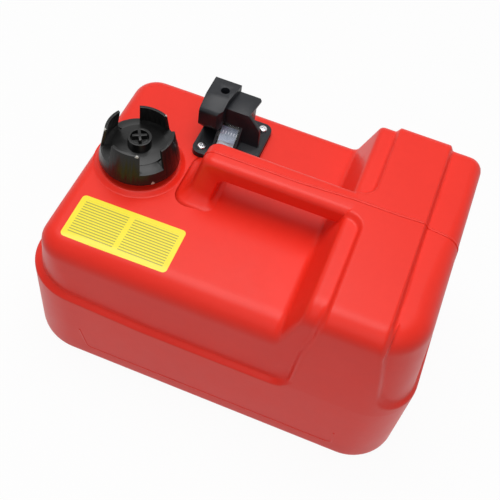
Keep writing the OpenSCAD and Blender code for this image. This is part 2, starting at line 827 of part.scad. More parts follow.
module gauge_drum() {
    color("white") translate([gauge_x - drum_half, pivot[1], pivot[2]]) rotate([90, 0, 90]) difference() {
        union() {
            cylinder(r = 4, h = 2 * drum_half);
            linear_extrude(2 * drum_half)
                polygon(concat([[0, 0]], arc([0, 0], drum_radius, 80, 215, 27)));
        }
        translate([0, 0, -1]) cylinder(r = pin_radius + pin_clearance, h = 2 * drum_half + 2);
    }
}

module drum_pin() {
    color("silver") translate([gauge_x - housing_half + 0.5, pivot[1], pivot[2]]) rotate([0, 90, 0])
        cylinder(r = pin_radius, h = 2 * housing_half - 1);
}

// A wire between two points, round at both ends
module wire(a, b) {
    d = b - a;
    translate(a) {
        sphere(arm_wire, $fn = fine);
        rotate([0, acos(d[2] / norm(d)), atan2(d[1], d[0])]) cylinder(r = arm_wire, h = norm(d), $fn = fine);
    }
}

// Everything on the arm is drawn level, then swung down to the empty position
module swung() {
    translate([0, pivot[1], pivot[2]]) rotate([arm_angle, 0, 0]) children();
}

module float_arm() {
    root = [arm_x, 0, -2.5];
    elbow = [arm_x, 0, -arm_drop];
    wrist = [arm_x, -arm_length, -arm_drop];
    tip = [gauge_x + float_length / 2 + 3, -arm_length, -arm_drop];
    color("silver") swung() difference() {
        union() {
            wire(root, elbow);
            wire(elbow, wrist);
            wire(wrist, tip);
        }
        translate([gauge_x - drum_half - 1, 0, 0]) rotate([0, 90, 0]) cylinder(r = 4, h = 2 * drum_half + 2);
    }
}

module float() {
    color("darkkhaki") swung()
        translate([arm_x + arm_wire + 1.2, -arm_length, -arm_drop]) rotate([0, 90, 0]) difference() {
            cylinder(r = float_radius, h = float_length);
            translate([0, 0, -1]) cylinder(r = arm_wire + 0.1, h = float_length + 2);
        }
}

module float_washers() {
    color("silver") swung()
        for (x = [arm_x + arm_wire, arm_x + arm_wire + 1.2 + float_length])
            translate([x, -arm_length, -arm_drop]) rotate([0, 90, 0]) difference() {
                cylinder(r = 4, h = 1.2);
                translate([0, 0, -1]) cylinder(r = arm_wire + 0.02, h = 4);
            }
}

module pickup_tube() {
    color("dimgray") translate([riser[0], riser[1], strainer_low + 6]) difference() {
        cylinder(r = pickup_radius, h = riser_socket_top - strainer_low - 6);
        translate([0, 0, -1]) cylinder(r = pickup_radius - pickup_wall, h = riser_socket_top);
    }
}

module pickup_strainer() {
    color("gray") translate([riser[0], riser[1], strainer_low]) difference() {
        cylinder(r = strainer_radius, h = strainer_height);
        translate([0, 0, 1.5]) cylinder(r = strainer_radius - 1.2, h = strainer_height - 4.5);
        translate([0, 0, 1.5]) cylinder(r = tube_socket, h = strainer_height);
        for (turn = [0:45:135], z = [4:5:strainer_height - 8])
            translate([0, 0, z]) rotate([0, 0, turn])
                translate([-strainer_radius - 1, -1.2, 0]) cube([2 * strainer_radius + 2, 2.4, 3]);
    }
}

module outlet_valve() {
    color("gold") translate([socket[0], socket[1], 0]) {
        translate([0, 0, head_top - valve_head]) cylinder(r = chamber_radius - 1, h = valve_head);
        translate([0, 0, head_top - 0.5]) cylinder(r = seat_radius - 0.8, h = stem_top - head_top + 0.5);
        translate([0, 0, head_top - valve_head - 3]) cylinder(r = chamber_radius - 2.6, h = 3.5);
    }
}

module valve_seat() {
    color("black") translate([socket[0], socket[1], head_top]) difference() {
        cylinder(r = chamber_radius, h = seal_height);
        translate([0, 0, -1]) cylinder(r = seat_radius, h = seal_height + 2);
    }
}

module chamber_plug_disc() {
    color("dimgray") translate([socket[0], socket[1], flange_low]) cylinder(r = chamber_radius, h = chamber_plug);
}

// The coil runs from the plug to the valve's head; each ring of points is square to the axis
module valve_spring() {
    coil = chamber_radius - 1.2 - spring_wire;
    rings = 12 * spring_turns;
    sides = 6;
    height = head_top - valve_head - plug_top - 2 * spring_wire;
    points = [
        for (i = [0:rings], j = [0:sides - 1])
            let (turn = 360 * i / 12, r = coil + spring_wire * cos(360 * j / sides))
                [r * cos(turn), r * sin(turn), height * i / rings + spring_wire * sin(360 * j / sides)]
    ];
    faces = concat(
        [[for (j = [0:sides - 1]) j]],
        [[for (j = [sides - 1:-1:0]) rings * sides + j]],
        [
            for (i = [0:rings - 1], j = [0:sides - 1])
                let (k = (j + 1) % sides)
                    [i * sides + j, (i + 1) * sides + j, (i + 1) * sides + k, i * sides + k]
        ]
    );
    color("silver") translate([socket[0], socket[1], plug_top + spring_wire]) polyhedron(points, faces);
}

module passage_plug() {
    color("gold") translate([outlet_x + column_right - 5, socket[1], passage_z]) rotate([0, 90, 0]) difference() {
        cylinder(r = passage_radius + 1.5, h = 5);
        translate([0, 0, 3]) cylinder(r = 2, h = 3, $fn = 6);
    }
}

tank_shell();
cap_shell();
cap_gasket();
vent_screw();
vent_seal();
outlet_body();
flange_gasket();
flange_screws();
screw_inserts();
gauge_lens();
lens_gasket();
gauge_drum();
drum_pin();
float_arm();
float();
float_washers();
pickup_tube();
pickup_strainer();
outlet_valve();
valve_spring();
valve_seat();
chamber_plug_disc();
passage_plug();
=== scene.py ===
import json
import math

import bpy
import bmesh
import numpy as np
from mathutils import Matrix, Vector


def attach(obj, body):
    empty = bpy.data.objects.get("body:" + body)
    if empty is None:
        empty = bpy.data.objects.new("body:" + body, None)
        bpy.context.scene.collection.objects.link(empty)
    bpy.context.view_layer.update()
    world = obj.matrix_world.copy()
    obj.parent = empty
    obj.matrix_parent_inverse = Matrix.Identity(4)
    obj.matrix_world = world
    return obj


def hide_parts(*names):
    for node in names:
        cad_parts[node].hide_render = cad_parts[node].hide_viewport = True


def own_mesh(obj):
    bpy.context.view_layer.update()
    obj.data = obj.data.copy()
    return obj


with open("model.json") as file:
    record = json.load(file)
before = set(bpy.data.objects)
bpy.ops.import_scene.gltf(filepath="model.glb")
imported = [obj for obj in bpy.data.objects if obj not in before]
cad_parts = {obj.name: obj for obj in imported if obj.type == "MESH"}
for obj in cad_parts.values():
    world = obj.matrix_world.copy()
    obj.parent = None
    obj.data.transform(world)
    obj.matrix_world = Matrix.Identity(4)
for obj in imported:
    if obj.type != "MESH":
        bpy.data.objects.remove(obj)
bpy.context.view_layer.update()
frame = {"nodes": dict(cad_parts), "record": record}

millimetre = 0.001


# eases from 0 at -half to 1 at +half, as three t squared less two t cubed
def ease(value, half):
    t = np.clip((value + half) / (2 * half), 0, 1)
    return t * t * (3 - 2 * t)


# quads between neighbouring rows and columns of a grid; closed grids wrap round
def gridQuads(rows, columns, closeRows=False, closeColumns=False):
    r = np.arange(rows if closeRows else rows - 1)
    c = np.arange(columns if closeColumns else columns - 1)
    r, c = np.meshgrid(r, c, indexing="ij")
    r2, c2 = (r + 1) % rows, (c + 1) % columns
    return np.stack([r * columns + c, r * columns + c2, r2 * columns + c2, r2 * columns + c], -1).reshape(-1, 4)


# a new object from points in millimetres; its place is in its mesh
def makePiece(name, points, faces, finish, body, angle=None):
    mesh = bpy.data.meshes.new(name)
    mesh.from_pydata((np.asarray(points, float).reshape(-1, 3) * millimetre).tolist(), [],
                     faces.tolist() if isinstance(faces, np.ndarray) else faces)
    piece = bpy.data.objects.new(name, mesh)
    bpy.context.scene.collection.objects.link(piece)
    cleanMesh(piece)
    mesh.materials.append(finish)
    shadeSmooth(piece, angle)
    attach(piece, body)
    return piece


# merges doubles, drops slivers and turns every face outwards
def cleanMesh(piece, distance=1e-6):
    work = bmesh.new()
    work.from_mesh(piece.data)
    bmesh.ops.remove_doubles(work, verts=work.verts, dist=distance)
    bmesh.ops.dissolve_degenerate(work, edges=work.edges, dist=distance)
    bmesh.ops.recalc_face_normals(work, faces=work.faces)
    work.to_mesh(piece.data)
    work.free()
    piece.data.update()


# smooth shading; edges sharper than the angle, in degrees, stay crisp
def shadeSmooth(piece, angle=None):
    mesh = piece.data
    mesh.polygons.foreach_set("use_smooth", [True] * len(mesh.polygons))
    if angle is not None:
        mesh.set_sharp_from_angle(angle=math.radians(angle))
    mesh.update()


# bakes a modifier into the mesh
def applyModifier(piece, kind, **settings):
    modifier = piece.modifiers.new(kind.lower(), kind)
    for key, value in settings.items():
        setattr(modifier, key, value)
    graph = bpy.context.evaluated_depsgraph_get()
    graph.update()
    done = bpy.data.meshes.new_from_object(piece.evaluated_get(graph))
    piece.modifiers.clear()
    old = piece.data
    piece.data = done
    bpy.data.meshes.remove(old)


# a socket that can be added, multiplied and so on with numbers and other sockets
class Wire:
    def __init__(self, finish, socket):
        self.finish, self.socket = finish, socket

    def join(self, operation, first, second=0.0):
        return self.finish.add("ShaderNodeMath", {"operation": operation}, {0: first, 1: second})

    def __add__(self, other): return self.join("ADD", self, other)
    def __radd__(self, other): return self.join("ADD", other, self)
    def __sub__(self, other): return self.join("SUBTRACT", self, other)
    def __rsub__(self, other): return self.join("SUBTRACT", other, self)
    def __mul__(self, other): return self.join("MULTIPLY", self, other)
    def __rmul__(self, other): return self.join("MULTIPLY", other, self)
    def __truediv__(self, other): return self.join("DIVIDE", self, other)
    def __gt__(self, other): return self.join("GREATER_THAN", self, other)
    def __lt__(self, other): return self.join("LESS_THAN", self, other)
    def __abs__(self): return self.join("ABSOLUTE", self)


# a material: fixed values go on the shader itself, and add() makes any other node
class Finish:
    def __init__(self, name, values):
        self.material = bpy.data.materials.new(name)
        self.material.use_nodes = True
        self.tree = self.material.node_tree
        self.shader = self.tree.nodes["Principled BSDF"]
        for key, value in values.items():
            self.shader.inputs[key].default_value = value

    def add(self, kind, settings=None, inputs=None, out=0):
        node = self.tree.nodes.new(kind)
        for key, value in (settings or {}).items():
            if key == "stops":
                for stop, (place, colour) in zip(node.color_ramp.elements, value):
                    stop.position, stop.color = place, colour
            else:
                setattr(node, key, value)
        for key, value in (inputs or {}).items():
            self.feed(node.inputs[key], value)
        return Wire(self, node.outputs[out])

    def feed(self, socket, value):
        if isinstance(value, Wire):
            self.tree.links.new(value.socket, socket)
        else:
            socket.default_value = value

    # the object's own coordinates in metres, and one axis of them
    def place(self):
        return self.add("ShaderNodeTexCoord", out="Object")

    def axis(self, name):
        return self.add("ShaderNodeSeparateXYZ", None, {0: self.place()}, out=name)

    def noise(self, scale, detail=2.0, roughness=0.5):
        return self.add("ShaderNodeTexNoise", None, {
            "Vector": self.place(), "Scale": scale, "Detail": detail, "Roughness": roughness})

    def blend(self, amount, first, second):
        return self.add("ShaderNodeMix", {"data_type": "RGBA"}, {0: amount, 6: first, 7: second}, out=2)

    def bump(self, height, strength, distance):
        raised = self.add("ShaderNodeBump", None, {"Strength": strength, "Distance": distance, "Height": height})
        self.feed(self.shader.inputs["Normal"], raised)


# a moulded plastic: two close tones, a roughness that wanders and a fine moulded grain
def mouldedPlastic(name, dark, light, roughness, wander, grainScale, grain, coat=0.0):
    finish = Finish(name, {"Metallic": 0.0, "IOR": 1.5, "Coat Weight": coat, "Coat Roughness": 0.2,
                           "Specular IOR Level": 0.28})
    cloud = finish.noise(14.0, 3.0)
    fleck = finish.noise(160.0, 2.0)
    finish.feed(finish.shader.inputs["Base Color"],
                finish.blend(cloud * 0.7 + fleck * 0.3, (*dark, 1), (*light, 1)))
    finish.feed(finish.shader.inputs["Roughness"], (finish.noise(55.0, 3.0) - 0.5) * wander + roughness)
    finish.bump(finish.noise(grainScale, 3.0, 0.6), grain, 0.0004)
    return finish


redPlastic = mouldedPlastic("redPolyethylene", (0.74, 0.020, 0.009), (0.85, 0.028, 0.013), 0.38, 0.10, 900.0, 0.05)
capPlastic = mouldedPlastic("blackCapPlastic", (0.004, 0.004, 0.004), (0.009, 0.009, 0.009), 0.32, 0.14, 700.0, 0.10)
fittingPlastic = mouldedPlastic("blackFittingPlastic", (0.006, 0.007, 0.009), (0.012, 0.013, 0.017),
                                0.38, 0.12, 1100.0, 0.16)

# where the cap's petals have been knocked: each spot's place in metres and radius in millimetres
capWear = {
    "spots": (((-0.1500, -0.0091, 0.2076), 1.5), ((-0.1075, 0.0312, 0.2076), 1.3),
              ((-0.0940, -0.0127, 0.2076), 1.2), ((-0.1105, -0.0264, 0.2076), 1.4),
              ((-0.0955, -0.0240, 0.1770), 1.6), ((-0.1480, 0.0290, 0.1770), 1.2)),
    "ragged": 2.4, "bare": (0.42, 0.41, 0.38, 1),
}


# a speck is bare where the distance to its spot, made ragged by noise, is under its radius
def wearCap():
    mask = 0.0
    ragged = capPlastic.noise(900.0, 3.0) * capWear["ragged"]
    for spot, radius in capWear["spots"]:
        gap = capPlastic.add("ShaderNodeVectorMath", {"operation": "DISTANCE"},
                             {0: capPlastic.place(), 1: spot}, out=1)
        mask = (gap * 1000 + ragged < radius + capWear["ragged"] / 2) + mask
    socket = capPlastic.shader.inputs["Base Color"]
    clean = Wire(capPlastic, socket.links[0].from_socket)
    capPlastic.feed(socket, capPlastic.blend(mask.join("MINIMUM", mask, 1.0), clean, capWear["bare"]))


wearCap()
nylon = mouldedPlastic("greyNylon", (0.20, 0.20, 0.19), (0.30, 0.30, 0.28), 0.45, 0.1, 600.0, 0.1)
drumPlastic = mouldedPlastic("whiteDial", (0.78, 0.80, 0.84), (0.88, 0.89, 0.91), 0.35, 0.08, 800.0, 0.05)
foam = mouldedPlastic("floatFoam", (0.18, 0.15, 0.10), (0.30, 0.26, 0.18), 0.8, 0.1, 1500.0, 0.5)
sealRubber = mouldedPlastic("sealRubber", (0.012, 0.012, 0.012), (0.022, 0.022, 0.021), 0.75, 0.1, 1300.0, 0.25)


# a metal: a tone that wanders a little and a roughness with fine turning marks
def turnedMetal(name, dark, light, roughness, scale):
    finish = Finish(name, {"Metallic": 1.0})
    finish.feed(finish.shader.inputs["Base Color"], finish.blend(finish.noise(60.0), (*dark, 1), (*light, 1)))
    finish.feed(finish.shader.inputs["Roughness"], finish.noise(scale, 4.0, 0.7) * 0.2 + roughness)
    finish.bump(finish.noise(scale, 2.0), 0.08, 0.0001)
    return finish


screwSteel = turnedMetal("platedSteel", (0.55, 0.55, 0.57), (0.80, 0.80, 0.82), 0.18, 900.0)
wireSteel = turnedMetal("stainlessWire", (0.45, 0.45, 0.47), (0.66, 0.66, 0.68), 0.25, 1200.0)
turnedBrass = turnedMetal("turnedBrass", (0.55, 0.38, 0.14), (0.78, 0.58, 0.26), 0.25, 900.0)

clearPlastic = Finish("clearWindow", {
    "Base Color": (0.93, 0.96, 1.0, 1), "Roughness": 0.04, "IOR": 1.49, "Transmission Weight": 1.0})

finishOfSlot = {
    "tank_plastic": redPlastic, "cap_plastic": capPlastic, "fitting_plastic": fittingPlastic,
    "rubber": sealRubber, "screw_steel": screwSteel, "wire_steel": wireSteel, "brass": turnedBrass,
    "clear_plastic": clearPlastic, "drum_plastic": drumPlastic, "float_foam": foam, "tube_plastic": nylon,
}
for row in frame["record"]["subparts"]:
    mesh = frame["nodes"][row["node"]].data
    mesh.materials.clear()
    mesh.materials.append(finishOfSlot[row["material_slot"]].material)
print("finishes:", len(finishOfSlot))


# the tank's moulding: sizes in millimetres, leans and drafts as slopes
tank = {
    "length": 380.0, "width": 246.0, "deck": 165.0, "ledge": 97.0, "wall": 3.5,
    "skirtCorners": (53.0, 45.0), "upperCorners": (48.0, 40.0), "rearCorner": 24.0, "rearRightCorner": 14.0,
    "cornerFrom": 100.0, "cornerTo": 150.0, "upperLeftTop": 23.0, "leastCorner": 2.0,
    "skirtDraft": 1.0, "bottomEdge": 9.0,
    "upperLow": 87.0, "upperStep": 5.0, "upperDraft": 0.025, "leftStep": 4.0, "leftLean": 0.27,
    "rightStep": 2.0, "rightLean": 0.085,
    "frontEdge": 22.0, "blockEdge": 20.0, "bandEdge": 19.0, "rearEdge": 11.0, "leftEdge": 13.0, "leftFrontEdge": 17.0,
    "strip": 208.0, "bandStep": 5.0, "blockLeft": 78.0, "wallLean": 21.0, "wallFillet": 8.0, "wallEdge": 6.0,
    "bandLeft": 94.0, "bandRight": 146.0, "bandDraft": 2.5, "bandRearStep": 1.0,
    "stepSoftness": 2.4, "ledgeSoftness": 2.6, "recessCorner": 16.0, "recessCornerRight": 28.0,
    "recessLeftZ": (91.0, 150.0, 185.0, 208.0), "recessLeftX": (80.0, 83.5, 90.5, 94.0),
    "recessRightFrom": 198.0, "recessRightSlant": 0.165,
    "frontLedgeX": (-150.0, -60.0), "frontLedgeZ": (98.0, 91.5), "rightLedge": 104.0,
    "handleY": 6.0, "handleHalf": 14.0, "stripCorner": 13.0,
    "frontAnchorX": (-110.0, 130.0), "sideAnchorY": (-60.0, 60.0), "spineReach": 142.0,
}


# points of an arc about a middle, from one angle to another in degrees
def arcPoints(middle, radius, start, end, count):
    a = np.radians(np.linspace(start, end, count))
    return np.stack([middle[0] + radius * np.cos(a), middle[1] + radius * np.sin(a)], 1)


# the block's left side in X and Z: a concave fillet, a straight leaning wall, a convex edge
def blockProfile():
    t = tank
    lean = math.radians(t["wallLean"])
    filletZ = t["deck"] + t["wallFillet"]
    drop = (t["strip"] + t["wallFillet"] * math.sin(lean) - filletZ) / math.cos(lean)
    filletX = t["blockLeft"] - drop * math.sin(lean) - t["wallFillet"] * math.cos(lean)
    rise = t["wallEdge"] * (1 - math.sin(lean)) / math.cos(lean)
    edgeX = t["blockLeft"] - rise * math.sin(lean) + t["wallEdge"] * math.cos(lean)
    fillet = arcPoints((filletX, filletZ), t["wallFillet"], 270, 360 - t["wallLean"], 12)
    edge = arcPoints((edgeX, t["strip"] - t["wallEdge"]), t["wallEdge"], 180 - t["wallLean"], 90, 9)
    wall = np.linspace(fillet[-1], edge[0], 7)[1:-1]
    return np.concatenate([fillet, wall, edge])


blockLine = blockProfile()


# 1 on the band and 0 beside it, by X alone
def bandMask(x):
    t = tank
    return ease(x - t["bandLeft"], t["stepSoftness"]) * ease(t["bandRight"] - x, t["stepSoftness"])


# height of the top face: the deck, the block's side by its profile, and the plateau,
# whose outline is the band joined to the handle's strip by round fillets in plan
def topHeight(x, y):
    t = tank
    base = np.interp(x, blockLine[:, 0], blockLine[:, 1], left=t["deck"], right=t["strip"])
    half = (t["bandRight"] - t["bandLeft"]) / 2
    toBand = np.abs(x - t["bandLeft"] - half) - half
    toHandle = np.maximum(np.abs(y - t["handleY"]) - t["handleHalf"], x - t["bandLeft"] - half)
    r = t["stripCorner"]
    away = np.maximum(np.minimum(toBand, toHandle), r) - np.hypot(
        np.maximum(r - toBand, 0), np.maximum(r - toHandle, 0))
    plateau = ease(-away, t["stepSoftness"])
    share = (base - t["deck"]) / (t["strip"] - t["deck"])
    return base + t["bandStep"] * plateau * share


# signed depth inside a region's corner that is rounded where two edges meet
def roundedCorner(a, b, radius):
    inside = (a < radius) & (b < radius)
    return np.where(inside, radius - np.hypot(radius - a, radius - b), np.minimum(a, b))


# 1 where the upper body is set in above the ledge, 0 on the skirt and on the band in front
def recessMask(x, z, front):
    t = tank
    leftEdge = np.interp(z, t["recessLeftZ"], t["recessLeftX"])
    rightEdge = t["bandRight"] + t["recessRightSlant"] * np.maximum(t["recessRightFrom"] - z, 0)
    left = roundedCorner(z - np.interp(x, t["frontLedgeX"], t["frontLedgeZ"]), leftEdge - x, t["recessCorner"])
    right = roundedCorner(z - t["rightLedge"], x - rightEdge, t["recessCornerRight"])
    inFront = np.maximum(ease(left, t["ledgeSoftness"]), ease(right, t["ledgeSoftness"]))
    behind = ease(z - t["ledge"], t["ledgeSoftness"])
    return np.where(front, inFront, behind)


# columns of the grid in eight stretches round the outline: 0 front, 1 front right corner, 2 right
# end, 3 rear right corner, 4 rear, 5 rear left corner, 6 left end, 7 front left corner
def outlineColumns():
    low, high = tank["frontAnchorX"]
    places = np.concatenate([
        np.linspace(low, blockLine[0, 0], 44)[:-1], blockLine[:, 0],
        np.linspace(blockLine[-1, 0], 89.5, 5)[1:], np.linspace(90.5, 99.5, 11),
        np.linspace(102, high, 10)[:-1]])
    front = (places - low) / (high - low)
    corner = np.concatenate([np.linspace(0, 0.30, 22), np.linspace(0.33, 1, 18)])[:-1]
    plain = np.linspace(0, 1, 27)[:-1]
    side = np.linspace(0, 1, 25)[:-1]

    def backwards(shares):
        return np.append(0, 1 - shares[:0:-1])

    stretches = [front, corner, side, backwards(corner), backwards(front), plain, side, plain]
    return np.repeat(np.arange(8), [len(w) for w in stretches]), np.concatenate(stretches)


zone, along = outlineColumns()


# the outline of a rounded rectangle at every column: straight stretches keep X or Y, and a corner
# stretch shares out its length over a straight, an arc and a straight; the corner radii are given
# as front right, rear right, rear left, front left
def outline(box, corners):
    t = tank
    left, right, front, rear = [np.broadcast_to(np.asarray(v, float), zone.shape) for v in box]
    lowX, highX = t["frontAnchorX"]
    lowY, highY = t["sideAnchorY"]
    w = np.where((zone == 3) | (zone == 7), 1 - along, along)
    radius = np.select([zone == 1, zone == 3, zone == 5], corners[:3], corners[3])
    atRight = (zone == 1) | (zone == 3)
    inFront = (zone == 1) | (zone == 7)
    before = np.where(atRight, right - highX, lowX - left) - radius
    after = np.where(inFront, lowY - front, rear - highY) - radius
    run = w * (before + radius * math.pi / 2 + after)
    turn = np.clip((run - before) / radius, 0, math.pi / 2)
    outwards = np.minimum(run, before) + radius * np.sin(turn)
    inwards = radius * (1 - np.cos(turn)) + np.maximum(run - before - radius * math.pi / 2, 0)
    straightX = np.where(zone == 0, lowX + along * (highX - lowX), highX - along * (highX - lowX))
    straightY = np.where(zone == 2, lowY + along * (highY - lowY), highY - along * (highY - lowY))
    x = np.select([(zone == 0) | (zone == 4), zone == 2, zone == 6, atRight],
                  [straightX, right, left, highX + outwards], lowX - outwards)
    y = np.select([zone == 0, zone == 4, (zone == 2) | (zone == 6), inFront],
                  [front, rear, straightY, front + inwards], rear - inwards)
    return x, y


# the skirt's and band's plan, drafted below the ledge and above it
def outerPlan(z):
    t = tank
    below = t["skirtDraft"] * (1 - np.minimum(z, t["ledge"]) / t["ledge"])
    above = t["bandDraft"] * np.maximum(z - t["ledge"], 0) / (t["strip"] - t["ledge"])
    d = below + above
    rearStep = (t["upperStep"] - t["bandRearStep"]) * (z > t["ledge"])
    return (d - t["length"] / 2, t["length"] / 2 - d, d - t["width"] / 2, t["width"] / 2 - d - rearStep)


# the upper body's plan: drafted all round, its left end leaning in
def upperPlan(z):
    t = tank
    drafted = t["upperDraft"] * (z - t["upperLow"])
    return (t["leftStep"] - t["length"] / 2 + t["leftLean"] * (z - t["upperLow"]),
            t["length"] / 2 - t["rightStep"] - t["rightLean"] * (z - t["upperLow"]),
            t["upperStep"] - t["width"] / 2 + drafted,
            t["width"] / 2 - t["upperStep"] - drafted)


def shrink(box, d):
    return (box[0] + d, box[1] - d, box[2] + d, box[3] - d)


# one ring of the moulding at a height, drawn in by inset: the outer and the upper outlines
# mixed by the recess mask
def ring(z, inset):
    t = tank
    grown = 1 - np.clip((z - t["ledge"]) / 6, 0, 1)
    skirtLeft, skirtRight = t["skirtCorners"]
    upperLeft, upperRight = t["upperCorners"]
    rear = t["rearCorner"]
    outerX, outerY = outline(shrink(outerPlan(z), inset), [
        skirtRight - inset, rear + (skirtRight - rear) * grown - inset,
        rear + (skirtLeft - rear) * grown - inset, skirtLeft - inset])
    upperLeft = np.interp(z, (t["cornerFrom"], t["cornerTo"]), (upperLeft, t["upperLeftTop"]))
    upperX, upperY = outline(shrink(upperPlan(z), inset), [
        np.maximum(radius - inset, t["leastCorner"])
        for radius in (upperRight, t["rearRightCorner"], rear, upperLeft)])
    front = (zone <= 1) | (zone == 7)
    mask = recessMask(upperX, z, front)
    endLedge = t["rightLedge"] + (t["ledge"] - t["rightLedge"]) * ease(along - 0.5, 0.5)
    mask = np.where(zone == 2, ease(z - endLedge, t["ledgeSoftness"]), mask)
    behind = (zone >= 3) & (zone <= 5)
    mask = np.where(behind, mask * (1 - bandMask(upperX)), mask)
    mask = np.where(behind & (z <= t["ledge"] - t["ledgeSoftness"]), 0, mask)
    return outerX + (upperX - outerX) * mask, outerY + (upperY - outerY) * mask


# the whole outside: rows run from the middle of the floor up the walls, round the top edge
# and in over the top face to the spine, and columns run round the outline
def tankSurface():
    t = tank
    rows = []
    one = np.ones(zone.shape)

    def spine(x):
        return np.clip(x, -t["spineReach"], t["spineReach"])

    edge = t["bottomEdge"]
    baseX, baseY = ring(0.0 * one, edge * one)
    for share in (1.0, 0.8, 0.6, 0.4, 0.2):
        rows.append((baseX + (spine(baseX) - baseX) * share, baseY + (t["handleY"] - baseY) * share, 0 * one))
    for turn in np.radians(np.linspace(0, 90, 8)):
        z = edge * (1 - math.cos(turn)) * one
        x, y = ring(z, edge * (1 - math.sin(turn)) * one)
        rows.append((x, y, z))
    heights = [np.linspace(edge, 86, 11)[1:], np.linspace(86, 110, 29)[1:], np.linspace(110, 122, 9)[1:]]
    for z in np.concatenate(heights):
        x, y = ring(z * one, 0 * one)
        rows.append((x, y, z * one))

    # edge radii by column: large in front, small behind, blended along the ends
    frontBlend = ease(rows[-1][0] - (blockLine[0, 0] + blockLine[-1, 0]) / 2, 14)
    inFront = t["frontEdge"] + (t["blockEdge"] - t["frontEdge"]) * frontBlend
    inFront = inFront + (t["bandEdge"] - inFront) * bandMask(rows[-1][0])
    fade = along * along * (3 - 2 * along)

    # round the front left corner: from the left end's edge over a middling edge to the front's
    def frontCorner(share):
        return np.interp(share, [0, 0.5, 1], [t["leftEdge"], t["leftFrontEdge"], t["frontEdge"]])

    radius = np.select(
        [zone == 0, zone == 1, zone == 2, (zone == 3) | (zone == 4), zone == 5, zone == 6],
        [inFront, inFront, t["blockEdge"] + (t["rearEdge"] - t["blockEdge"]) * fade, t["rearEdge"],
         t["rearEdge"] + (t["leftEdge"] - t["rearEdge"]) * fade, t["leftEdge"]],
        frontCorner(fade))

    def level(x):
        return np.interp(x, blockLine[:, 0], blockLine[:, 1], left=t["deck"], right=t["strip"]) \
            + t["bandStep"] * bandMask(x)

    top = level(rows[-1][0])
    wallEnd = top - radius
    for share in np.linspace(0, 1, 13)[1:]:
        z = 122 + (wallEnd - 122) * share
        x, y = ring(z, 0 * one)
        top = level(x)
        wallEnd = top - radius
        rows.append((x, y, 122 + (wallEnd - 122) * share))
    for turn in np.radians(np.linspace(0, 90, 12))[1:]:
        x, y = ring(wallEnd + 0 * one, radius * (1 - math.cos(turn)))
        top = level(x)
        rows.append((x, y, top - radius * (1 - math.sin(turn))))
    edgeX, edgeY = rows[-1][0], rows[-1][1]
    shares = [np.linspace(0, 0.66, 26)[1:], np.linspace(0.66, 0.90, 22)[1:], np.linspace(0.90, 1, 6)[1:]]
    for share in np.concatenate(shares):
        x = edgeX + (spine(edgeX) - edgeX) * share
        y = edgeY + (t["handleY"] - edgeY) * share
        rows.append((x, y, topHeight(x, y)))
    points = np.stack([np.stack(row, -1) for row in rows])
    return points


surface = tankSurface()
tankBody = makePiece("tankBody", surface, gridQuads(surface.shape[0], surface.shape[1], closeColumns=True),
                     redPlastic.material, "tank")
print("tank outside:", len(tankBody.data.polygons), "faces")


# the carrying handle, in millimetres
handle = {
    "y": 6.0, "half": 14.0, "baseHalf": 24.0, "top": 213.0, "under": 193.0,
    "outerFoot": (-68.0, -57.5), "innerFoot": (-44.5, -39.5), "end": 101.0,
    "low": 164.0, "counts": (16, 12, 60), "sink": 0.8, "sinkAt": 87.0, "sinkOver": 5.0,
    "outerBend": 11.0, "innerBend": 9.0, "outerCorner": 7.0, "innerCorner": 3.5, "flare": 11.0,
}


# a polyline in X and Z with one rounded corner, resampled to an even count of points
def bentLine(start, corner, end, bend, counts):
    start, corner, end = map(np.asarray, (start, corner, end))
    a = (start - corner) / np.linalg.norm(start - corner)
    b = (end - corner) / np.linalg.norm(end - corner)
    half = math.acos(float(a @ b)) / 2
    back = bend / math.tan(half)
    first, last = corner + a * back, corner + b * back
    middle = corner + (a + b) / np.linalg.norm(a + b) * bend / math.sin(half)
    t = np.linspace(0, 1, counts[1])[:, None]
    u = (first - middle) / bend
    v = (last - middle) / bend
    total = math.acos(float(np.clip(u @ v, -1, 1)))
    arc = middle + bend * (np.sin((1 - t) * total) * u + np.sin(t * total) * v) / math.sin(total)
    return np.concatenate([np.linspace(start, first, counts[0])[:-1], arc, np.linspace(last, end, counts[2])[1:]])


def gripOuterLine():
    h = handle
    return bentLine((h["outerFoot"][0], h["low"]), (h["outerFoot"][1] + 1.0, h["top"]), (h["end"], h["top"]),
                    h["outerBend"], h["counts"])


